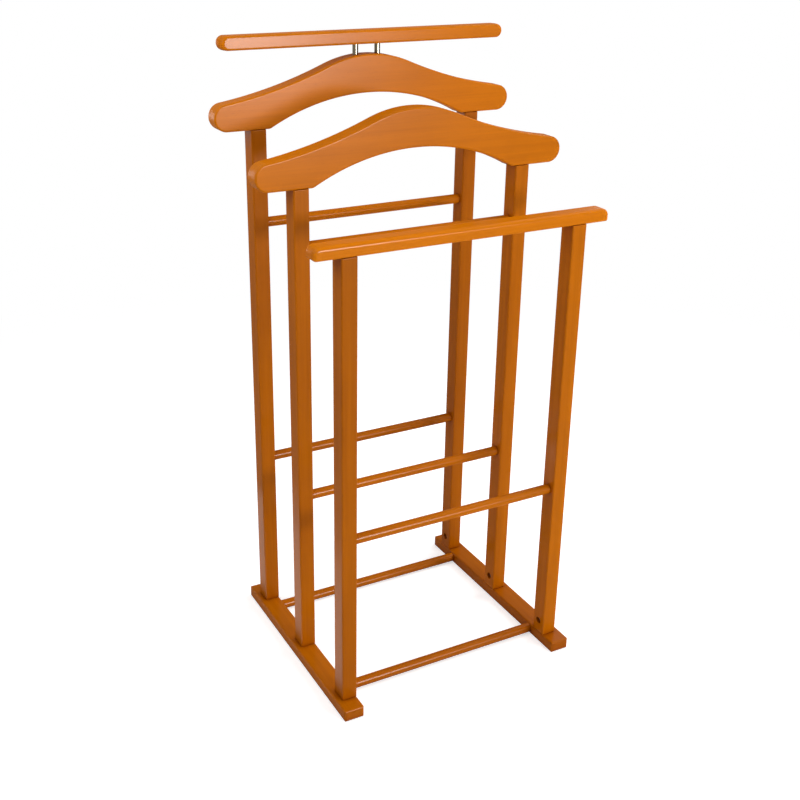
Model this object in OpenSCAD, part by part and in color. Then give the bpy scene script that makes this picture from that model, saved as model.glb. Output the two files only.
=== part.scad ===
// Wooden clothes valet stand: two base rails, three pairs of posts that rise
// towards the back, a hat-and-tie bar on the front pair, a coat hanger on each
// of the other two, and a trouser bar on metal pins above the rear hanger.
// X is to the right, Y to the back, Z up. The origin is on the floor, under
// the middle of the stand.

/* [Base rails] */
// Length of each base rail, front to back
rail_l = 347; // [320:1:420]
// Width of each base rail, across the stand
rail_w = 30; // [26:1:40]
// Height of each base rail
rail_h = 17; // [15:1:26]
// Radius of the long edges of a rail
rail_edge_r = 2.5; // [1:0.5:4]
// Radius of a rail's four corners, seen from above
rail_corner_r = 4; // [2:0.5:6]

/* [Posts] */
// Clear width between a left post and a right post
inner_w = 314; // [280:1:350]
// Width of a post, across the stand
post_w = 22; // [20:1:28]
// Depth of a post, front to back
post_d = 26; // [22:1:32]
// Distance between the centres of neighbouring pairs, front to back
post_pitch = 137; // [115:1:148]
// Length of the two front posts
front_post_l = 636; // [500:1:800]
// How much longer each pair is than the pair in front of it
post_step = 52; // [35:1:90]
// Radius of the long edges of a post
post_edge_r = 2; // [1:0.5:4]
// Radius of the edges round a post's two ends
post_end_r = 0.8; // [0.4:0.1:1.5]

/* [Rungs] */
// Diameter of a rung
rung_d = 14; // [11:0.5:16]
// How far a rung's end goes into a post
rung_seat = 11.5; // [8:0.5:14]
// Height of the three lower rungs above the floor, to their centres
lower_rung_z = 261; // [150:1:400]
// Drop of the two upper rungs below the tops of the front posts
upper_rung_drop = 27; // [20:1:150]
// Distance of a base rung from the centre line of the nearer end posts
base_rung_inset = 23.5; // [22:0.5:60]
// Diameter of the turned tenon on a base rung's end
tenon_d = 10; // [8:0.5:11]
// Length of that tenon
tenon_l = 14; // [8:0.5:18]

/* [Front bar] */
// Length of the front bar
front_bar_l = 428; // [400:1:480]
// Thickness of the front bar, upwards
front_bar_t = 17; // [15:1:26]
// Radius of the upper corners at its two ends, seen from the front
front_bar_top_r = 6; // [3:0.5:8]
// Radius of its long upper edges
front_bar_edge_r = 3.5; // [2:0.5:5]
// Radius of its lower edges and of its corners seen from above
front_bar_low_r = 2; // [1:0.5:3]

/* [Coat hangers] */
// Length of a coat hanger
hanger_l = 460; // [440:1:490]
// Height of the crown above the hanger's underside
crown_h = 91; // [84:1:98]
// Radius of the crown
crown_r = 162; // [145:1:180]
// Slope at which the crown passes into the shoulder, in degrees
crown_slope = 22.4; // [20:0.1:24]
// Radius of the hollow shoulder
shoulder_r = 665; // [600:5:760]
// Height of the arch between the two flat feet of the underside
arch_h = 39; // [28:1:44]
// Radius by which the arch turns into a foot
foot_r = 12; // [8:0.5:14]
// How far a foot reaches inwards past the inner face of its post
foot_land = 3.5; // [2:0.5:6]
// Radius of the eased edges round a hanger's outline
hanger_edge_r = 2.5; // [1:0.5:4]

/* [Trouser bar] */
// Length of the trouser bar
trouser_bar_l = 436; // [400:1:470]
// Height of the trouser bar
trouser_bar_h = 18.5; // [16:0.5:24]
// Depth of the trouser bar, front to back
trouser_bar_d = 25; // [20:1:32]
// Radius of its long edges
trouser_bar_edge_r = 3; // [1:0.5:6]
// How far its half-round ends are crowned, seen from above
trouser_bar_crown = 4; // [1:0.5:6]
// Clear gap between the rear hanger's crown and the trouser bar
trouser_gap = 13.5; // [10:0.5:25]
// Diameter of a pin that carries the trouser bar
pin_d = 8; // [6:0.5:10]
// Distance between the centres of the two pins
pin_pitch = 34; // [26:1:80]
// Depth of a pin in the hanger, below the top of the crown
pin_hanger_l = 22; // [15:1:28]
// Depth of a pin in the trouser bar
pin_bar_l = 11; // [8:0.5:13]

/* [Joints] */
// Diameter of the bolts that hold the posts on the rails
bolt_d = 6; // [5:0.5:7]
// Diameter of a bolt's head
bolt_head_d = 10; // [9:0.5:12]
// Height of a bolt's head
bolt_head_h = 6; // [4:0.5:7]
// Width across the flats of the socket in a bolt's head
bolt_key_w = 5; // [4:0.5:6]
// Depth of the socket in a bolt's head
bolt_key_l = 3; // [2:0.5:3.5]
// Depth of the counterbore for a bolt's head in the rail's underside
bolt_recess = 8; // [7:0.5:10]
// How far a bolt reaches past its barrel nut
bolt_tip = 2; // [1:0.5:5]
// Diameter of a barrel nut
nut_d = 10; // [9:0.5:12]
// Length of a barrel nut
nut_l = 13; // [10:0.5:14]
// Height of a barrel nut's centre above the rail
nut_rise = 19; // [14:1:40]
// Diameter of the wooden dowels in the tops of the posts
dowel_d = 8; // [6:0.5:10]
// Depth of a dowel in its post
dowel_post_l = 23; // [15:1:30]
// Depth of a dowel in the board above the post
dowel_board_l = 12; // [8:0.5:13]

/* [Fits] */
// Clearance round a glued rung, tenon, dowel or pin, on the radius
glue_gap = 0.1; // [0.05:0.05:0.2]
// Clearance round a bolt, its head and a barrel nut, on the radius
bolt_gap = 0.25; // [0.1:0.05:0.5]
// Spare depth at the bottom of each blind hole
hole_relief = 0.8; // [0.5:0.1:1.5]

/* [Hidden] */

$fn = 96;

wood = "#B5661A";
steel = "#C9C6C0";
dowel_wood = "#D9B98C";

left = -1;
right = 1;
front = -1;
middle = 0;
rear = 1;

post_x = inner_w / 2 + post_w / 2;
rail_x = inner_w / 2 + rail_w / 2;
base_rung_y = post_pitch - base_rung_inset;
upper_rung_z = rail_h + front_post_l - upper_rung_drop;
nut_z = rail_h + nut_rise;
bolt_l = rail_h - bolt_recess + nut_rise + nut_d / 2 + bolt_tip;
overshoot = 1;
// Direction that an underside faces, as an angle seen from the front
down = 270;

// Length of a post and height of its top, by pair: front, middle or rear
function post_l(pair) = front_post_l + (pair - front) * post_step;
function post_top(pair) = rail_h + post_l(pair);

// The coat hanger's outline, seen from the front, is a chain of arcs that are
// tangent to each other. Heights are above the flat underside.
crown_y = crown_h - crown_r;
shoulder_x = (crown_r + shoulder_r) * sin(crown_slope);
shoulder_y = crown_y + (crown_r + shoulder_r) * cos(crown_slope);
// The end's radius makes it touch the underside, the end and the shoulder
end_reach = hanger_l / 2 - shoulder_x + shoulder_y + shoulder_r;
end_power = pow(hanger_l / 2 - shoulder_x, 2) + pow(shoulder_y, 2) - pow(shoulder_r, 2);
end_r = end_reach - sqrt(pow(end_reach, 2) - end_power);
end_x = hanger_l / 2 - end_r;
end_slope = asin((shoulder_x - end_x) / (shoulder_r + end_r));
// The arch's radius makes it end in the two feet, at the posts' inner faces
foot_x = inner_w / 2 - foot_land;
arch_r = (pow(foot_x, 2) / arch_h + arch_h) / 2 - foot_r;
arch_y = arch_h - arch_r;
arch_slope = atan2(foot_x, foot_r - arch_y);
// Steps along each arc of that outline, and round its eased edge. The crown has
// what makes the upper half of the outline as many steps as the lower half.
shoulder_steps = 12;
end_steps = 10;
foot_steps = 5;
arch_steps = 30;
crown_steps = arch_steps + 2 * (foot_steps + 1) - 2 * shoulder_steps;
ease_steps = 4;
// Steps along the crown of the trouser bar's ends, on each side of the middle
crown_halves = 3;

pin_z = post_top(rear) + crown_h;
trouser_bar_z = pin_z + trouser_gap;
bar_end_r = trouser_bar_h / 2;
bar_end_x = trouser_bar_l / 2 - bar_end_r;

// ---- Plain outlines ----

// Rectangle about the origin with round corners, the upper two of their own radius
module round_rect(w, h, r, top_r) {
    difference() {
        square([w, h], center = true);
        for (side = [left, right]) {
            corner_waste(side * w / 2, h / 2, top_r, side, 1);
            corner_waste(side * w / 2, -h / 2, r, side, -1);
        }
    }
}

// What a round corner of radius r takes away from the square corner at x, y
module corner_waste(x, y, r, side_x, side_y) {
    translate([x - side_x * r, y - side_y * r])
        mirror([side_x < 0 ? 1 : 0, 0])
            mirror([0, side_y < 0 ? 1 : 0])
                difference() {
                    square(r + overshoot);
                    circle(r);
                }
}

// Board on the origin, where its three outlines cut each other: the children
// are the outlines from above, from the front and from the side
module shaped_board(size) {
    w = size[0];
    d = size[1];
    h = size[2];
    intersection() {
        translate([0, 0, -overshoot])
            linear_extrude(h + 2 * overshoot)
                children(0);
        translate([0, d / 2 + overshoot, h / 2])
            rotate([90, 0, 0])
                linear_extrude(d + 2 * overshoot)
                    children(1);
        translate([-w / 2 - overshoot, 0, h / 2])
            rotate([90, 0, 90])
                linear_extrude(w + 2 * overshoot)
                    children(2);
    }
}

// Board with a radius on every edge
module eased_board(size, plan_r, front_r, front_top_r, side_r, side_top_r) {
    shaped_board(size) {
        round_rect(size[0], size[1], plan_r, plan_r);
        round_rect(size[0], size[2], front_r, front_top_r);
        round_rect(size[1], size[2], side_r, side_top_r);
    }
}

// Cylinder along X from x0, with its axis at y, z
module x_rod(x0, y, z, d, l) {
    translate([x0, y, z])
        rotate([0, 90, 0])
            cylinder(d = d, h = l);
}

// ---- Base ----

module base_rail(side) {
    difference() {
        translate([side * rail_x, 0, 0])
            eased_board([rail_w, rail_l, rail_h], rail_corner_r,
                        rail_edge_r, rail_edge_r, rail_edge_r, rail_edge_r);
        for (end = [front, rear])
            tenon_hole(side, end * base_rung_y);
        for (pair = [front, middle, rear])
            translate([side * post_x, pair * post_pitch, 0])
                bolt_hole();
    }
}

module tenon_hole(side, y) {
    hole_l = tenon_l + hole_relief + overshoot;
    x0 = side > 0 ? inner_w / 2 - overshoot : -inner_w / 2 + overshoot - hole_l;
    x_rod(x0, y, rail_h / 2, tenon_d + 2 * glue_gap, hole_l);
}

// Counterbored hole for a bolt, from the rail's underside
module bolt_hole() {
    translate([0, 0, -overshoot]) {
        cylinder(d = bolt_head_d + 2 * bolt_gap, h = bolt_recess + overshoot);
        cylinder(d = bolt_d + 2 * bolt_gap, h = rail_h + 2 * overshoot);
    }
}

module left_base_rail() {
    color(wood) base_rail(left);
}

module right_base_rail() {
    color(wood) base_rail(right);
}

// Round rung between the rails, with a turned tenon on each end
module base_rung(end) {
    y = end * base_rung_y;
    color(wood) {
        x_rod(-inner_w / 2, y, rail_h / 2, rung_d, inner_w);
        x_rod(-inner_w / 2 - tenon_l, y, rail_h / 2, tenon_d, inner_w + 2 * tenon_l);
    }
}

module front_base_rung() {
    base_rung(front);
}

module rear_base_rung() {
    base_rung(rear);
}

// ---- Posts ----

// Post with its sockets: barrel nut and bolt at the foot, rungs on the inner
// face, dowel in the top
module post(side, pair) {
    color(wood) difference() {
        translate([side * post_x, pair * post_pitch, rail_h])
            eased_board([post_w, post_d, post_l(pair)], post_edge_r,
                        post_end_r, post_end_r, post_end_r, post_end_r);
        translate([side * post_x, pair * post_pitch, rail_h - overshoot])
            cylinder(d = bolt_d + 2 * bolt_gap,
                     h = bolt_l - rail_h + bolt_recess + hole_relief + overshoot);
        translate([side * post_x, pair * post_pitch, post_top(pair) - dowel_post_l - hole_relief])
            cylinder(d = dowel_d + 2 * glue_gap, h = dowel_post_l + hole_relief + overshoot);
        inner_face_hole(side, pair, nut_z, nut_d + 2 * bolt_gap,
                        (post_w + nut_l) / 2 + hole_relief);
        inner_face_hole(side, pair, lower_rung_z, rung_d + 2 * glue_gap, rung_seat + hole_relief);
        if (pair != front)
            inner_face_hole(side, pair, upper_rung_z, rung_d + 2 * glue_gap,
                            rung_seat + hole_relief);
    }
}

// Blind hole of depth l into a post's inner face
module inner_face_hole(side, pair, z, d, l) {
    x0 = side > 0 ? inner_w / 2 - overshoot : -inner_w / 2 - l;
    x_rod(x0, pair * post_pitch, z, d, l + overshoot);
}

module front_left_post() {
    post(left, front);
}

module front_right_post() {
    post(right, front);
}

module middle_left_post() {
    post(left, middle);
}

module middle_right_post() {
    post(right, middle);
}

module rear_left_post() {
    post(left, rear);
}

module rear_right_post() {
    post(right, rear);
}

// ---- Rungs between the posts ----

module post_rung(pair, z) {
    color(wood)
        x_rod(-inner_w / 2 - rung_seat, pair * post_pitch, z, rung_d, inner_w + 2 * rung_seat);
}

module front_lower_rung() {
    post_rung(front, lower_rung_z);
}

module middle_lower_rung() {
    post_rung(middle, lower_rung_z);
}

module rear_lower_rung() {
    post_rung(rear, lower_rung_z);
}

module middle_upper_rung() {
    post_rung(middle, upper_rung_z);
}

module rear_upper_rung() {
    post_rung(rear, upper_rung_z);
}

// ---- Front bar ----

module front_bar() {
    color(wood) difference() {
        translate([0, front * post_pitch, post_top(front)])
            eased_board([front_bar_l, post_d, front_bar_t], front_bar_low_r,
                        front_bar_low_r, front_bar_top_r,
                        front_bar_low_r, front_bar_edge_r);
        board_dowel_holes(front);
    }
}

// Blind holes in the underside of the board that lies on a pair of posts
module board_dowel_holes(pair) {
    for (side = [left, right])
        translate([side * post_x, pair * post_pitch, post_top(pair) - overshoot])
            cylinder(d = dowel_d + 2 * glue_gap, h = dowel_board_l + hole_relief + overshoot);
}

// ---- Coat hangers ----

// The outline runs anticlockwise from the right-hand tip, seen from the front,
// as [x, y, angle], where the angle is the direction that the edge faces. An arc
// starts at angle a0 and ends before a1, where the next stretch starts.
function bulging_run(x, y, r, a0, a1, steps) =
    [for (i = [0 : steps - 1]) arc_point(x, y, r, a0 + (a1 - a0) * i / steps, 0)];

function hollow_run(x, y, r, a0, a1, steps) =
    [for (i = [0 : steps - 1]) arc_point(x, y, r, a0 + (a1 - a0) * i / steps, 180)];

function arc_point(x, y, r, a, turn) = [x + r * cos(a), y + r * sin(a), a + turn];

hanger_outline = concat(
    bulging_run(end_x, end_r, end_r, 0, 90 - end_slope, end_steps),
    hollow_run(shoulder_x, shoulder_y, shoulder_r, down - end_slope, down - crown_slope,
               shoulder_steps),
    bulging_run(0, crown_y, crown_r, 90 - crown_slope, 90 + crown_slope, crown_steps),
    hollow_run(-shoulder_x, shoulder_y, shoulder_r, down + crown_slope, down + end_slope,
               shoulder_steps),
    bulging_run(-end_x, end_r, end_r, 90 + end_slope, 180, end_steps),
    bulging_run(-end_x, end_r, end_r, 180, down, end_steps),
    [[-end_x, 0, down]],
    bulging_run(-foot_x, foot_r, foot_r, down, down + arch_slope, foot_steps),
    hollow_run(0, arch_y, arch_r, 90 + arch_slope, 90 - arch_slope, arch_steps),
    bulging_run(foot_x, foot_r, foot_r, down - arch_slope, down, foot_steps),
    [[foot_x, 0, down]],
    bulging_run(end_x, end_r, end_r, down, 360, end_steps)
);

// Layers of a board of depth d from its front face to its back face, as
// [inset, depth]: its edge is rounded with radius r at each face
function eased_front(d, r) =
    [for (i = [0 : ease_steps])
        let (a = 90 * i / ease_steps)
        [r * (1 - sin(a)), r * (1 - cos(a)) - d / 2]];

function mirrored_layers(layers) =
    [for (i = [len(layers) - 1 : -1 : 0]) [layers[i][0], -layers[i][1]]];

// A face of a board, as a strip from the right-hand tip to the left-hand one
// between the upper and the lower half of an outline of n points
function face_strip(first, n) = concat(
    [[first, first + 1, first + n - 1]],
    [for (i = [1 : n / 2 - 2])
        [first + i, first + i + 1, first + n - i - 1, first + n - i]],
    [[first + n / 2 - 1, first + n / 2, first + n / 2 + 1]]
);

function turned_over(faces) =
    [for (f = faces) [for (i = [len(f) - 1 : -1 : 0]) f[i]]];

// Board on the origin with its front face towards -Y, and its outline seen from
// the front. Where ends_r is given, both ends are arcs of that radius from above.
module lofted_board(outline, layers, ends_r = 0) {
    n = len(outline);
    last = len(layers) - 1;
    points = [for (layer = layers)
        let (recess = ends_r == 0 ? 0 : ends_r - sqrt(pow(ends_r, 2) - pow(layer[1], 2)))
        for (p = outline)
            [p[0] - layer[0] * cos(p[2]) - sign(p[0]) * recess, layer[1],
             p[1] - layer[0] * sin(p[2])]];
    edge = [for (j = [0 : last - 1], i = [0 : n - 1])
        let (k = (i + 1) % n)
        [j * n + i, j * n + k, (j + 1) * n + k, (j + 1) * n + i]];
    front_face = turned_over(face_strip(0, n));
    back_face = face_strip(last * n, n);
    polyhedron(points, concat(edge, front_face, back_face), convexity = 6);
}

module hanger_board() {
    front_layers = eased_front(post_d, hanger_edge_r);
    lofted_board(hanger_outline, concat(front_layers, mirrored_layers(front_layers)));
}

module coat_hanger(pair) {
    difference() {
        translate([0, pair * post_pitch, post_top(pair)])
            hanger_board();
        board_dowel_holes(pair);
    }
}

module middle_hanger() {
    color(wood) coat_hanger(middle);
}

module rear_hanger() {
    color(wood) difference() {
        coat_hanger(rear);
        pin_rods(pin_d + 2 * glue_gap, pin_z - pin_hanger_l - hole_relief, pin_z + overshoot);
    }
}

// ---- Trouser bar ----

// Half-round ends, seen from the front, from the right-hand tip anticlockwise
trouser_bar_outline = concat(
    bulging_run(bar_end_x, bar_end_r, bar_end_r, 0, 90, end_steps),
    [[bar_end_x, trouser_bar_h, 90]],
    bulging_run(-bar_end_x, bar_end_r, bar_end_r, 90, 180, end_steps),
    bulging_run(-bar_end_x, bar_end_r, bar_end_r, 180, down, end_steps),
    [[-bar_end_x, 0, down]],
    bulging_run(bar_end_x, bar_end_r, bar_end_r, down, 360, end_steps)
);

module trouser_bar_board() {
    front_layers = eased_front(trouser_bar_d, trouser_bar_edge_r);
    ends_r = (pow(trouser_bar_d / 2, 2) / trouser_bar_crown + trouser_bar_crown) / 2;
    flat_y = trouser_bar_d / 2 - trouser_bar_edge_r;
    middle_layers = [for (i = [1 - crown_halves : crown_halves - 1])
        [0, flat_y * i / crown_halves]];
    lofted_board(trouser_bar_outline,
                 concat(front_layers, middle_layers, mirrored_layers(front_layers)), ends_r);
}

module trouser_bar() {
    color(wood) difference() {
        translate([0, rear * post_pitch, trouser_bar_z])
            trouser_bar_board();
        pin_rods(pin_d + 2 * glue_gap, trouser_bar_z - overshoot,
                 trouser_bar_z + pin_bar_l + hole_relief);
    }
}

// A rod at each pin, from height z0 to z1
module pin_rods(d, z0, z1) {
    for (side = [left, right])
        translate([side * pin_pitch / 2, rear * post_pitch, z0])
            cylinder(d = d, h = z1 - z0);
}

module trouser_bar_pins() {
    color(steel) pin_rods(pin_d, pin_z - pin_hanger_l, trouser_bar_z + pin_bar_l);
}

// ---- Fasteners ----

// One of something at each post
module at_posts() {
    for (side = [left, right])
        for (pair = [front, middle, rear])
            translate([side * post_x, pair * post_pitch, 0])
                children();
}

module base_bolts() {
    color(steel) at_posts()
        translate([0, 0, bolt_recess]) {
            cylinder(d = bolt_d, h = bolt_l);
            translate([0, 0, -bolt_head_h]) difference() {
                cylinder(d = bolt_head_d, h = bolt_head_h);
                translate([0, 0, -overshoot])
                    cylinder(d = bolt_key_w / cos(30), h = bolt_key_l + overshoot, $fn = 6);
            }
        }
}

module barrel_nuts() {
    color(steel) at_posts()
        difference() {
            x_rod(-nut_l / 2, 0, nut_z, nut_d, nut_l);
            translate([0, 0, nut_z - nut_d])
                cylinder(d = bolt_d + 2 * glue_gap, h = 2 * nut_d);
        }
}

module top_dowels() {
    color(dowel_wood)
        for (side = [left, right])
            for (pair = [front, middle, rear])
                translate([side * post_x, pair * post_pitch, post_top(pair) - dowel_post_l])
                    cylinder(d = dowel_d, h = dowel_post_l + dowel_board_l);
}

left_base_rail();
right_base_rail();
front_base_rung();
rear_base_rung();
front_left_post();
front_right_post();
middle_left_post();
middle_right_post();
rear_left_post();
rear_right_post();
front_lower_rung();
middle_lower_rung();
rear_lower_rung();
middle_upper_rung();
rear_upper_rung();
front_bar();
middle_hanger();
rear_hanger();
trouser_bar();
trouser_bar_pins();
base_bolts();
barrel_nuts();
top_dowels();
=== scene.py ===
import math

import bpy
import bmesh
from mathutils import Matrix, Vector


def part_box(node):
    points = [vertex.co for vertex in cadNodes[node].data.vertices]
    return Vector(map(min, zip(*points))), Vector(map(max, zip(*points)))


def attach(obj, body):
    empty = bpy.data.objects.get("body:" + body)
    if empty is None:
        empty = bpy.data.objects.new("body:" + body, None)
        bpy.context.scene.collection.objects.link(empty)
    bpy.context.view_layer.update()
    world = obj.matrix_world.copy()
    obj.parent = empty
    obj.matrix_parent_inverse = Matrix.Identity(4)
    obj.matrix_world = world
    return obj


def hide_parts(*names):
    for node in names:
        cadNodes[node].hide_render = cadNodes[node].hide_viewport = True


# Clothes valet stand of beech, stained amber and lacquered. Metres, Z up, front towards -Y.

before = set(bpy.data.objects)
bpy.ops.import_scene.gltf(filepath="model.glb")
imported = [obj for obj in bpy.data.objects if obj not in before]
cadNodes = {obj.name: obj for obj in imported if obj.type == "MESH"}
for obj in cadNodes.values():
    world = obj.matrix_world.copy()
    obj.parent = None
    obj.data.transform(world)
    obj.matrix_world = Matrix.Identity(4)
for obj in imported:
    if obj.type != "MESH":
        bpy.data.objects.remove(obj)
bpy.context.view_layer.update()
mm = 0.001
scene = bpy.context.scene
scene.view_settings.view_transform = "Standard"
print("frame loaded:", len(cadNodes), "pieces")


def linear(hexColour):
    # sRGB hex to the linear colour that the shaders take
    channels = [int(hexColour[i:i + 2], 16) / 255 for i in (1, 3, 5)]
    return [c / 12.92 if c <= 0.04045 else ((c + 0.055) / 1.055) ** 2.4 for c in channels] + [1]


def addNode(tree, kind, settings=None, links=None):
    # settings go to the node's own fields where it has them, and to its sockets otherwise
    node = tree.nodes.new("ShaderNode" + kind)
    for name, value in (settings or {}).items():
        if isinstance(name, str) and hasattr(node, name):
            setattr(node, name, value)
        else:
            node.inputs[name].default_value = value
    for name, source in (links or {}).items():
        tree.links.new(source, node.inputs[name])
    return node


def newMaterial(name):
    material = bpy.data.materials.new(name)
    material.use_nodes = True
    material.node_tree.nodes.clear()
    return material, material.node_tree


# Sockets of a Mix node in its colour mode
mixFactor, mixA, mixB, mixResult = 0, 6, 7, 2


def blend(tree, firstColour, secondColour, share):
    # goes from the first colour to the second as the share goes from 0 to 1
    colours = {"data_type": "RGBA", mixA: linear(firstColour), mixB: linear(secondColour)}
    return addNode(tree, "Mix", colours, {mixFactor: share}).outputs[mixResult]


def stretchedNoise(tree, place, size, detail, roughness=0.5):
    # noise whose spots have that size along X, Y and Z, in mm
    units = [1 / (length * mm) for length in size]
    stretched = addNode(tree, "VectorMath", {"operation": "MULTIPLY", 1: units}, {0: place})
    return addNode(tree, "TexNoise", {"Scale": 1, "Detail": detail, "Roughness": roughness},
                   {"Vector": stretched.outputs[0]}).outputs[0]


beech = {
    "paleStain": "#E07E05",         # where the stain lies thin
    "deepStain": "#A25402",         # where the wood drank more of it
    "fleckStain": "#8E4207",        # ray flecks
    "cornerPaintedShade": "#6E2400",         # painted shade in inner corners, where parts meet
    "endStain": "#8A3A02",          # end grain
    "edgeWearAndHighlight": "#E0923C",         # eased edges, lighter: partly stain rubbed thin, partly a painted highlight
    "figureWidth": 8,               # mm, broad streaks of the growth rings
    "figureLength": 330,
    "figureShare": 0.32,            # how far figure, fibres and blotches move the stain's depth
    "fibreWidth": 2.4,              # mm; real fibres are about 0.3 mm, too fine for the picture
    "fibreLength": 90,
    "fibreShare": 0.24,
    "fleckWidth": 1.2,              # mm; real ray flecks are about 0.5 mm wide
    "fleckLength": 8,
    "fleckNoise": (0.63, 0.74),     # noise at which a fleck starts, and is full
    "fleckShare": 0.12,
    "blotchWidth": 85,              # mm, lighter and darker patches of stain
    "blotchLength": 170,
    "blotchShare": 0.45,
    "noiseRoughness": 0.6,          # share that each finer layer of these four patterns adds
    "seamReach": 9,                 # mm from an inner corner
    "seamOpenness": (0.85, 0.35),   # share of open sky at which the painted shade starts, and is full
    "cornerShadeShare": 0.75,
    "edgeReach": 1.1,               # mm
    "edgeAgreement": (0.995, 0.9),  # between softened and real normal where an edge starts, and is full
    "edgeShare": 0.15,
    "endFacing": (0.55, 0.95),      # how squarely a face stands across the grain, from side to end grain
    "endShare": 0.25,
    "raysPerSpot": 4,               # that look for edges and inner corners
    "roughness": (0.45, 0.57),      # of the wood under the lacquer, between the fibres and on them
    "relief": 0.1,                  # mm, of the fibres and flecks
    "reliefStrength": 0.2,
    "lacquer": 0.12,                # share of the surface that shines: satin lacquer with a matting agent
    "lacquerRoughness": 0.22,
}

# Turns that bring the grain of a piece along the pattern's X
grainTurn = {"x": (0, 0, 0), "y": (0, 0, math.radians(-90)), "z": (0, math.radians(90), 0)}

# Grain direction of each piece, place in the board that it was cut from (mm), and how deep the stain took
woodPieces = {
    "left_base_rail": ("y", (40, 31, 22), 0.7),
    "right_base_rail": ("y", (310, -27, 35), 0.9),
    "front_base_rung": ("x", (90, 14, 19), 0.85),
    "rear_base_rung": ("x", (420, -18, 12), 0.8),
    "front_left_post": ("z", (130, 34, 17), 0.85),
    "front_right_post": ("z", (720, -29, 26), 0.65),
    "middle_left_post": ("z", (350, 22, -37), 0.8),
    "middle_right_post": ("z", (940, 41, 12), 0.72),
    "rear_left_post": ("z", (560, -36, 21), 0.85),
    "rear_right_post": ("z", (1180, 25, 33), 0.9),
    "front_lower_rung": ("x", (700, 16, -15), 0.7),
    "middle_lower_rung": ("x", (980, -13, 20), 0.65),
    "rear_lower_rung": ("x", (1260, 21, 11), 0.9),
    "middle_upper_rung": ("x", (1540, -17, -14), 0.55),
    "rear_upper_rung": ("x", (1820, 12, 22), 0.4),
    "front_bar": ("x", (230, 43, 19), 0.26),
    "middle_hanger": ("x", (510, -12, 64), 0.46),
    "rear_hanger": ("x", (830, 18, 71), 0.36),
    "trouser_bar": ("x", (1110, -33, 24), 0.35),
}


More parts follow.
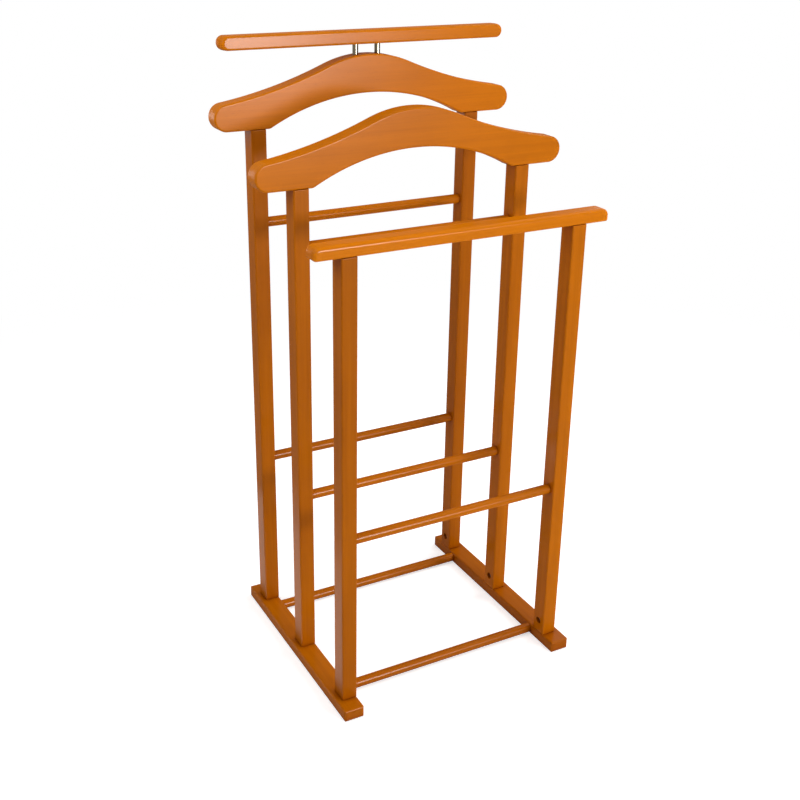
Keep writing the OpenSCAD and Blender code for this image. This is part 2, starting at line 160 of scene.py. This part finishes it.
def stainedBeech(piece, along, cut, depth):
    # Beech, planed and sanded, stained amber and sprayed with satin lacquer: an even warm orange with faint
    # streaks along the grain, short darker flecks, darker end grain and a soft sheen on every flat face
    material, tree = newMaterial("stainedLacqueredBeech_" + piece)
    place = addNode(tree, "TexCoord").outputs["Object"]
    board = addNode(tree, "Mapping", {"Location": [c * mm for c in cut], "Rotation": grainTurn[along]},
                    {"Vector": place}).outputs["Vector"]

    def streaks(length, width, detail):
        # noise drawn out along the grain, in mm
        return stretchedNoise(tree, board, (length, width, width), detail, beech["noiseRoughness"])

    figure = streaks(beech["figureLength"], beech["figureWidth"], detail=2)
    fibres = streaks(beech["fibreLength"], beech["fibreWidth"], detail=3)
    start, full = beech["fleckNoise"]
    flecks = addNode(tree, "MapRange", {"From Min": start, "From Max": full},
                     {"Value": streaks(beech["fleckLength"], beech["fleckWidth"], detail=1)}).outputs[0]
    blotches = streaks(beech["blotchLength"], beech["blotchWidth"], detail=2)

    # how much stain each spot took
    evenPart = depth - (beech["figureShare"] + beech["fibreShare"] + beech["blotchShare"]) / 2
    figurePart = addNode(tree, "Math", {"operation": "MULTIPLY_ADD", 1: beech["figureShare"], 2: evenPart},
                         {0: figure}).outputs[0]
    fibrePart = addNode(tree, "Math", {"operation": "MULTIPLY_ADD", 1: beech["fibreShare"]},
                        {0: fibres, 2: figurePart}).outputs[0]
    stainTaken = addNode(tree, "Math",
                         {"operation": "MULTIPLY_ADD", 1: beech["blotchShare"], "use_clamp": True},
                         {0: blotches, 2: fibrePart}).outputs[0]
    tone = blend(tree, beech["paleStain"], beech["deepStain"], stainTaken)

    def layerOver(tone, hexColour, share):
        return addNode(tree, "Mix", {"data_type": "RGBA", mixB: linear(hexColour)},
                       {mixFactor: share, mixA: tone}).outputs[mixResult]

    fleckShare = addNode(tree, "Math", {"operation": "MULTIPLY", 1: beech["fleckShare"]},
                         {0: flecks}).outputs[0]
    tone = layerOver(tone, beech["fleckStain"], fleckShare)

    # end grain faces along the grain and drinks more stain
    normal = addNode(tree, "NewGeometry").outputs["Normal"]
    facing = addNode(tree, "SeparateXYZ", None, {0: normal}).outputs["xyz".index(along)]
    alongGrain = addNode(tree, "Math", {"operation": "ABSOLUTE"}, {0: facing}).outputs[0]
    start, full = beech["endFacing"]
    endShare = addNode(tree, "MapRange", {"From Min": start, "From Max": full, "To Max": beech["endShare"]},
                       {"Value": alongGrain}).outputs[0]
    tone = layerOver(tone, beech["endStain"], endShare)

    # rounded edges, found where the softened normal leaves the real one: rubbed-thin stain and a painted
    # highlight
    softened = addNode(tree, "Bevel", {"samples": beech["raysPerSpot"],
                                       "Radius": beech["edgeReach"] * mm}).outputs[0]
    agreement = addNode(tree, "VectorMath", {"operation": "DOT_PRODUCT"},
                        {0: normal, 1: softened}).outputs["Value"]
    start, full = beech["edgeAgreement"]
    edgeShare = addNode(tree, "MapRange", {"From Min": start, "From Max": full, "To Max": beech["edgeShare"]},
                        {"Value": agreement}).outputs[0]
    tone = layerOver(tone, beech["edgeWearAndHighlight"], edgeShare)

    # inner corners darkened: painted shade, stronger where less open sky is found nearby
    openness = addNode(tree, "AmbientOcclusion", {"samples": beech["raysPerSpot"],
                                                  "Distance": beech["seamReach"] * mm}).outputs["AO"]
    start, full = beech["seamOpenness"]
    cornerShadeShare = addNode(tree, "MapRange", {"From Min": start, "From Max": full, "To Max": beech["cornerShadeShare"]},
                        {"Value": openness}).outputs[0]
    tone = layerOver(tone, beech["cornerPaintedShade"], cornerShadeShare)

    # the lacquer sinks a little into the fibres
    smooth, rough = beech["roughness"]
    gloss = addNode(tree, "MapRange", {"To Min": smooth, "To Max": rough}, {"Value": fibres}).outputs[0]
    relief = addNode(tree, "Math", {"operation": "SUBTRACT"}, {0: fibres, 1: flecks}).outputs[0]
    bump = addNode(tree, "Bump", {"Strength": beech["reliefStrength"], "Distance": beech["relief"] * mm},
                   {"Height": relief}).outputs[0]
    shader = addNode(tree, "BsdfPrincipled", {"Specular IOR Level": 0, "Coat Weight": beech["lacquer"],
                                              "Coat Roughness": beech["lacquerRoughness"]},
                     {"Base Color": tone, "Roughness": gloss, "Normal": bump})
    addNode(tree, "OutputMaterial", None, {"Surface": shader.outputs[0]})
    return material


def dress(node, material):
    slots = cadNodes[node].data.materials
    slots.clear()
    slots.append(material)


for piece, (along, cut, depth) in woodPieces.items():
    dress(piece, stainedBeech(piece, along, cut, depth))
print("stained beech:", len(woodPieces), "pieces")

chordError = 0.02   # mm between an arc and the straight steps that stand for it
touching = 0.001    # mm within which two places count as one
roundingSteps = 5   # across a rounded edge
sharpAngle = 35     # degrees; an edge that turns by more stays sharp

# Layers of a board with crowned ends, as shares of its depth from its middle
crownLayers = (-0.5, -0.34, -0.17, 0, 0.17, 0.34, 0.5)


def arcRun(x, z, radius, start, end):
    # points along an arc from start up to end, in degrees, without its last point
    turn = math.radians(end - start)
    steps = max(2, math.ceil(abs(turn) / math.sqrt(8 * chordError / radius)))
    angles = [math.radians(start) + turn * i / steps for i in range(steps)]
    return [(x + radius * math.cos(angle), z + radius * math.sin(angle)) for angle in angles]


def crownRecess(y, depth, crown):
    # how far an end that stands out by crown in its middle falls back at y
    if not crown:
        return 0
    radius = ((depth / 2) ** 2 / crown + crown) / 2
    return radius - math.sqrt(radius ** 2 - y ** 2)


def standIn(name, node, shape):
    # puts a shape, built in mm round the node's middle and above its underside, in the CAD node's place
    low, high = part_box(node)
    bmesh.ops.scale(shape, vec=(mm, mm, mm), verts=shape.verts)
    bmesh.ops.translate(shape, vec=(0, (low[1] + high[1]) / 2, low[2]), verts=shape.verts)
    mesh = bpy.data.meshes.new(name)
    shape.to_mesh(mesh)
    shape.free()
    for polygon in mesh.polygons:
        polygon.use_smooth = True
    mesh.set_sharp_from_angle(angle=math.radians(sharpAngle))
    board = bpy.data.objects.new(name, mesh)
    scene.collection.objects.link(board)
    board.modifiers.new("evenShading", "WEIGHTED_NORMAL").keep_sharp = True
    mesh.materials.append(cadNodes[node].data.materials[0])
    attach(board, "root")
    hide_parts(node)


def makeBoard(name, node, rightHalf, size):
    # A board as seen from the front, from its right half's outline in mm above its underside, with the edges
    # of both faces rounded over. It stands for the CAD node, in the same place.
    depth, crown = size["depth"], size.get("crown", 0)
    outline = rightHalf + [(-x, z) for x, z in reversed(rightHalf)]
    layers = [depth * share for share in (crownLayers if crown else (-0.5, 0.5))]
    shape = bmesh.new()
    recess = crownRecess(layers[0], depth, crown)
    corners = [shape.verts.new((x - math.copysign(recess, x), layers[0], z)) for x, z in outline]
    face = shape.faces.new(corners)
    for y in layers[1:]:
        grown = bmesh.ops.extrude_face_region(shape, geom=[face])["geom"]
        nextRecess = crownRecess(y, depth, crown)
        for part in grown:
            if isinstance(part, bmesh.types.BMVert):
                part.co.x += (recess - nextRecess) * math.copysign(1, part.co.x)
                part.co.y = y
        face = next(part for part in grown if isinstance(part, bmesh.types.BMFace))
        recess = nextRecess
    bmesh.ops.remove_doubles(shape, verts=shape.verts, dist=touching)
    bmesh.ops.recalc_face_normals(shape, faces=shape.faces)
    rims = [edge for edge in shape.edges
            if all(abs(abs(corner.co.y) - depth / 2) < touching for corner in edge.verts)]
    bmesh.ops.bevel(shape, geom=rims, offset=size["easedEdge"], segments=roundingSteps, profile=0.5,
                    affect="EDGES", material=-1)
    standIn(name, node, shape)


# Coat hanger, in mm and degrees: a chain of arcs, each tangent to the next
hanger = {
    "length": 460,
    "depth": 26,
    "crownHeight": 91,
    "crownRadius": 162,
    "crownSlope": 22.4,     # where the crown turns into the hollow shoulder
    "shoulderRadius": 665,
    "archHeight": 39,
    "archSpan": 307,
    "footRadius": 12,
    "easedEdge": 2.5,
}


def hangerHalf():
    crownRadius, shoulderRadius, slope = hanger["crownRadius"], hanger["shoulderRadius"], hanger["crownSlope"]
    crownZ = hanger["crownHeight"] - crownRadius
    shoulderX = (crownRadius + shoulderRadius) * math.sin(math.radians(slope))
    shoulderZ = crownZ + (crownRadius + shoulderRadius) * math.cos(math.radians(slope))
    # the round end touches the shoulder, the tip and the underside
    reach = hanger["length"] / 2 - shoulderX + shoulderZ + shoulderRadius
    power = (hanger["length"] / 2 - shoulderX) ** 2 + shoulderZ ** 2 - shoulderRadius ** 2
    endRadius = reach - math.sqrt(reach ** 2 - power)
    endX = hanger["length"] / 2 - endRadius
    endSlope = math.degrees(math.asin((shoulderX - endX) / (shoulderRadius + endRadius)))
    # the arch ends in the feet that sit on the posts
    footX, footRadius = hanger["archSpan"] / 2, hanger["footRadius"]
    archRadius = (footX ** 2 / hanger["archHeight"] + hanger["archHeight"]) / 2 - footRadius
    archZ = hanger["archHeight"] - archRadius
    archSlope = math.degrees(math.atan2(footX, footRadius - archZ))
    crown = arcRun(0, crownZ, crownRadius, 90, 90 - slope)[1:]
    shoulder = arcRun(shoulderX, shoulderZ, shoulderRadius, 270 - slope, 270 - endSlope)
    end = arcRun(endX, endRadius, endRadius, 90 - endSlope, -90)
    foot = [(endX, 0)] + arcRun(footX, footRadius, footRadius, 270, 270 - archSlope)
    arch = arcRun(0, archZ, archRadius, 90 - archSlope, 90)
    return crown + shoulder + end + foot + arch


# Trouser bar, in mm: half-round ends seen from the front, slightly crowned seen from above
trouserBar = {
    "length": 436,
    "height": 18.5,
    "depth": 25,
    "crown": 4,
    "easedEdge": 3,
}


def trouserBarHalf():
    radius = trouserBar["height"] / 2
    endX = trouserBar["length"] / 2 - radius
    return arcRun(endX, radius, radius, 90, -90) + [(endX, 0)]


# Front bar, in mm: a section with well rounded upper edges, which dwindles at both ends into round tips
frontBar = {
    "length": 430,
    "height": 17,
    "depth": 26,
    "upperEdge": 5.5,
    "lowerEdge": 2.5,
    "endUpper": 10,      # radii of the ends seen from the front, above and below
    "endLower": 4,
    "endCorner": 6,      # seen from above
    "endLayers": 12,
}


def frontBarFit(distance):
    # half depth, underside and top of the bar at a distance from its end
    def fall(radius):
        inside = max(0, radius - distance)
        return radius - math.sqrt(radius ** 2 - inside ** 2)
    return (frontBar["depth"] / 2 - fall(frontBar["endCorner"]), fall(frontBar["endLower"]),
            frontBar["height"] - fall(frontBar["endUpper"]))


def frontBarSection():
    # the bar's full section as points (y, z), y from its middle plane and z above its underside
    half, height = frontBar["depth"] / 2, frontBar["height"]
    upper, lower = frontBar["upperEdge"], frontBar["lowerEdge"]
    corners = [
        (half - lower, lower, lower, 270),
        (half - upper, height - upper, upper, 0),
        (upper - half, height - upper, upper, 90),
        (lower - half, lower, lower, 180),
    ]
    section = []
    for y, z, radius, start in corners:
        stop = start + 90
        section += arcRun(y, z, radius, start, stop)
        section.append((y + radius * math.cos(math.radians(stop)), z + radius * math.sin(math.radians(stop))))
    return section


def frontBarLayers():
    # places along the bar, close together near its ends, each with its distance from the nearer end
    steps, reach = frontBar["endLayers"], frontBar["endUpper"]
    distances = [reach * (1 - math.cos(math.radians(90 * i / steps))) for i in range(steps + 1)]
    leftEnd = [(distance - frontBar["length"] / 2, distance) for distance in distances]
    return leftEnd + [(-x, distance) for x, distance in reversed(leftEnd)]


def makeFrontBar():
    # starts at the left end and grows the section layer by layer, fitted each time to the bar's size there
    fullHalf, height = frontBar["depth"] / 2, frontBar["height"]
    layers = frontBarLayers()
    x, distance = layers[0]
    half, low, high = frontBarFit(distance)
    shape = bmesh.new()
    corners = [shape.verts.new((x, y * half / fullHalf, low + z * (high - low) / height))
               for y, z in frontBarSection()]
    face = shape.faces.new(corners)
    for x, distance in layers[1:]:
        grown = bmesh.ops.extrude_face_region(shape, geom=[face])["geom"]
        nextHalf, nextLow, nextHigh = frontBarFit(distance)
        for part in grown:
            if isinstance(part, bmesh.types.BMVert):
                z = nextLow + (part.co.z - low) * (nextHigh - nextLow) / (high - low)
                part.co = x, part.co.y * nextHalf / half, z
        face = next(part for part in grown if isinstance(part, bmesh.types.BMFace))
        half, low, high = nextHalf, nextLow, nextHigh
    bmesh.ops.recalc_face_normals(shape, faces=shape.faces)
    standIn("frontBarBoard", "front_bar", shape)


makeFrontBar()
makeBoard("middleHangerBoard", "middle_hanger", hangerHalf(), hanger)
makeBoard("rearHangerBoard", "rear_hanger", hangerHalf(), hanger)
makeBoard("trouserBarBoard", "trouser_bar", trouserBarHalf(), trouserBar)
print("front bar, hangers and trouser bar made")

steel = {
    "colour": "#6F6859",
    "ringColour": "#5E574A",
    "rimColour": "#14110C",     # at grazing angles
    "roughness": (0.1, 0.26),
    "ringWidth": 0.5,           # mm along the pin
    "ringReach": 20,            # mm across the pin, over which a ring stays the same
    "ringDepth": 0.05,          # mm
    "ringStrength": 0.15,
}


def polishedSteel():
    # Steel pin, turned and polished: bright, with faint rings left by the buff
    material, tree = newMaterial("polishedTurnedSteel")
    place = addNode(tree, "TexCoord").outputs["Object"]
    ringSize = (steel["ringReach"], steel["ringReach"], steel["ringWidth"])
    rings = stretchedNoise(tree, place, ringSize, detail=2)
    smooth, rough = steel["roughness"]
    gloss = addNode(tree, "MapRange", {"To Min": smooth, "To Max": rough}, {"Value": rings}).outputs[0]
    tone = blend(tree, steel["colour"], steel["ringColour"], rings)
    bump = addNode(tree, "Bump", {"Strength": steel["ringStrength"], "Distance": steel["ringDepth"] * mm},
                   {"Height": rings}).outputs[0]
    shader = addNode(tree, "BsdfPrincipled", {"Metallic": 1, "Specular Tint": linear(steel["rimColour"])},
                     {"Base Color": tone, "Roughness": gloss, "Normal": bump})
    addNode(tree, "OutputMaterial", None, {"Surface": shader.outputs[0]})
    return material


zinc = {
    "paleColour": "#74787C",
    "darkColour": "#505356",
    "mottle": 2.5,              # mm between brighter and duller crystals
    "roughness": (0.28, 0.5),
}


def zincPlatedSteel():
    # Zinc-plated steel fasteners: grey, slightly mottled, half matt
    material, tree = newMaterial("zincPlatedSteel")
    place = addNode(tree, "TexCoord").outputs["Object"]
    mottle = addNode(tree, "TexNoise", {"Scale": 1 / (zinc["mottle"] * mm), "Detail": 3},
                     {"Vector": place}).outputs[0]
    tone = blend(tree, zinc["paleColour"], zinc["darkColour"], mottle)
    smooth, rough = zinc["roughness"]
    gloss = addNode(tree, "MapRange", {"To Min": smooth, "To Max": rough}, {"Value": mottle}).outputs[0]
    shader = addNode(tree, "BsdfPrincipled", {"Metallic": 1}, {"Base Color": tone, "Roughness": gloss})
    addNode(tree, "OutputMaterial", None, {"Surface": shader.outputs[0]})
    return material


dowel = {
    "paleColour": "#E2C699",
    "darkColour": "#C79F6C",
    "fibreWidth": 0.8,          # mm
    "fibreLength": 20,
    "relief": 0.1,              # mm, of the fibres
    "reliefStrength": 0.4,
    "roughness": 0.7,
}


def rawBeech():
    # Beech dowels, left raw: pale straw colour with fine fibres along the dowel
    material, tree = newMaterial("rawBeechDowel")
    place = addNode(tree, "TexCoord").outputs["Object"]
    fibreSize = (dowel["fibreWidth"], dowel["fibreWidth"], dowel["fibreLength"])
    fibres = stretchedNoise(tree, place, fibreSize, detail=3)
    tone = blend(tree, dowel["paleColour"], dowel["darkColour"], fibres)
    bump = addNode(tree, "Bump", {"Strength": dowel["reliefStrength"], "Distance": dowel["relief"] * mm},
                   {"Height": fibres}).outputs[0]
    shader = addNode(tree, "BsdfPrincipled", {"Roughness": dowel["roughness"]},
                     {"Base Color": tone, "Normal": bump})
    addNode(tree, "OutputMaterial", None, {"Surface": shader.outputs[0]})
    return material


dress("trouser_bar_pins", polishedSteel())
platedSteel = zincPlatedSteel()
dress("base_bolts", platedSteel)
dress("barrel_nuts", platedSteel)
dress("top_dowels", rawBeech())
print("metal and dowels dressed")


studio = {
    "floorSize": 14,        # m
    "ambient": 0.32,        # light from all round
    "white": "#FFFFFF",
    "floorTone": "#E6E6E6",
    "speckleTone": "#E2E2E2",
    "speckle": 60,          # mm between the floor's two tones
    "floorLift": 0.62,      # brings the floor to white in the picture, and keeps the shadow faint
    "shadowReach": (0.7, 1.7),  # m from the stand's middle, where the floor's shadow fades into plain white
}


def raysThatSeeWhite(tree):
    # camera, glossy and transmission rays, which show the white studio, and not those that light the object
    rays = addNode(tree, "LightPath")
    straight = addNode(tree, "Math", {"operation": "MAXIMUM"},
                       {0: rays.outputs["Is Camera Ray"], 1: rays.outputs["Is Glossy Ray"]}).outputs[0]
    return addNode(tree, "Math", {"operation": "MAXIMUM"},
                   {0: straight, 1: rays.outputs["Is Transmission Ray"]}).outputs[0]


def paleFloor():
    # Matt painted studio floor that the picture shows as white; rays that light the object see its own tone
    material, tree = newMaterial("mattPaintedFloor")
    place = addNode(tree, "TexCoord").outputs["Object"]
    speckle = addNode(tree, "TexNoise", {"Scale": 1 / (studio["speckle"] * mm), "Detail": 2},
                      {"Vector": place}).outputs[0]
    tone = blend(tree, studio["floorTone"], studio["speckleTone"], speckle)
    paint = addNode(tree, "BsdfDiffuse", None, {"Color": tone})
    lift = addNode(tree, "Emission", {"Color": linear(studio["white"]), "Strength": studio["floorLift"]})
    lifted = addNode(tree, "AddShader", None, {0: paint.outputs[0], 1: lift.outputs[0]})
    white = addNode(tree, "Emission", {"Color": linear(studio["white"]), "Strength": 1})
    near, far = studio["shadowReach"]
    distance = addNode(tree, "VectorMath", {"operation": "LENGTH"}, {0: place}).outputs["Value"]
    fade = addNode(tree, "MapRange", {"interpolation_type": "SMOOTHSTEP", "From Min": near, "From Max": far},
                   {"Value": distance}).outputs[0]
    shown = addNode(tree, "MixShader", None, {0: fade, 1: lifted.outputs[0], 2: white.outputs[0]})
    both = addNode(tree, "MixShader", None,
                   {0: raysThatSeeWhite(tree), 1: paint.outputs[0], 2: shown.outputs[0]})
    # clear from below, so that the stand's underside shows
    clear = addNode(tree, "BsdfTransparent")
    below = addNode(tree, "NewGeometry").outputs["Backfacing"]
    oneSided = addNode(tree, "MixShader", None, {0: below, 1: both.outputs[0], 2: clear.outputs[0]})
    addNode(tree, "OutputMaterial", None, {"Surface": oneSided.outputs[0]})
    return material


def makeFloor():
    mesh = bpy.data.meshes.new("studioFloor")
    shape = bmesh.new()
    bmesh.ops.create_grid(shape, x_segments=1, y_segments=1, size=studio["floorSize"] / 2)
    shape.to_mesh(mesh)
    shape.free()
    floor = bpy.data.objects.new("studioFloor", mesh)
    scene.collection.objects.link(floor)
    mesh.materials.append(paleFloor())


def makeWorld():
    world = bpy.data.worlds.new("whiteStudio")
    world.use_nodes = True
    scene.world = world
    tree = world.node_tree
    tree.nodes.clear()
    strength = addNode(tree, "MapRange", {"To Min": studio["ambient"], "To Max": 1},
                       {"Value": raysThatSeeWhite(tree)}).outputs[0]
    background = addNode(tree, "Background", {"Color": linear(studio["white"])}, {"Strength": strength})
    addNode(tree, "OutputWorld", None, {"Surface": background.outputs[0]})


# Softboxes: place, what they aim at, width and height (m), and power (W). Four of them show only in what
# shines, such as the lacquer, and don't light the wood's own colour.
softboxes = {
    "frontSoftbox": {"place": (0.8, -2.1, 0.75), "aim": (0, 0, 0.6), "size": (0.8, 0.4), "power": 25},
    "sheenSoftbox": {"place": (0.58, -2.1, 0.87), "aim": (0, 0, 0.7), "size": (0.58, 0.7), "power": 105,
                     "sheenOnly": True},
    "rimSoftbox": {"place": (-0.9, 2.1, 0.73), "aim": (-0.2, 0.1, 0.76), "size": (0.65, 0.7), "power": 13,
                   "sheenOnly": True},
    "crestSoftbox": {"place": (1.75, 1.35, 1.35), "aim": (0.1, -0.1, 0.66), "size": (0.5, 0.4), "power": 8,
                     "sheenOnly": True},
    "floorGlow": {"place": (-0.27, 0.17, 0.004), "aim": (-0.27, 0.17, 1), "size": (0.14, 0.62), "power": 1,
                  "sheenOnly": True},
    "leftSoftbox": {"place": (-0.85, 0, 1.25), "aim": (-0.2, 0.08, 0.78), "size": (0.9, 0.8), "power": 5.6},
    "topSoftbox": {"place": (1.7, -0.1, 1.9), "aim": (0, 0, 0.5), "size": (1.8, 1.6), "power": 30},
}


def makeSoftbox(name, box):
    lamp = bpy.data.lights.new(name, "AREA")
    lamp.shape = "RECTANGLE"
    lamp.size, lamp.size_y = box["size"]
    lamp.energy = box["power"]
    holder = bpy.data.objects.new(name, lamp)
    scene.collection.objects.link(holder)
    holder.location = box["place"]
    holder.rotation_euler = (Vector(box["aim"]) - Vector(box["place"])).to_track_quat("-Z", "Y").to_euler()
    holder.visible_camera = False
    holder.visible_diffuse = not box.get("sheenOnly", False)


# The photograph looks at the stand from the front left, from a little above it
cameraSettings = {
    "place": (-0.7394, -1.2998, 1.0416),
    "turn": 27.74,      # degrees from +Y towards +X
    "tilt": -21.97,     # degrees from level, downwards
    "roll": 0.49,       # degrees
    "lens": 51.05,      # mm
    "sensorWidth": 36,  # mm
    "shift": (0.0325, -0.05),
}


def makeCamera():
    data = bpy.data.cameras.new("camera")
    data.sensor_width = cameraSettings["sensorWidth"]
    data.lens = cameraSettings["lens"]
    data.shift_x, data.shift_y = cameraSettings["shift"]
    camera = bpy.data.objects.new("camera", data)
    scene.collection.objects.link(camera)
    turn = Matrix.Rotation(math.radians(-cameraSettings["turn"]), 4, "Z")
    tilt = Matrix.Rotation(math.radians(90 + cameraSettings["tilt"]), 4, "X")
    roll = Matrix.Rotation(math.radians(cameraSettings["roll"]), 4, "Z")
    camera.matrix_world = Matrix.Translation(cameraSettings["place"]) @ turn @ tilt @ roll
    scene.camera = camera


makeFloor()
makeWorld()
for name, box in softboxes.items():
    makeSoftbox(name, box)
makeCamera()
print("studio ready")
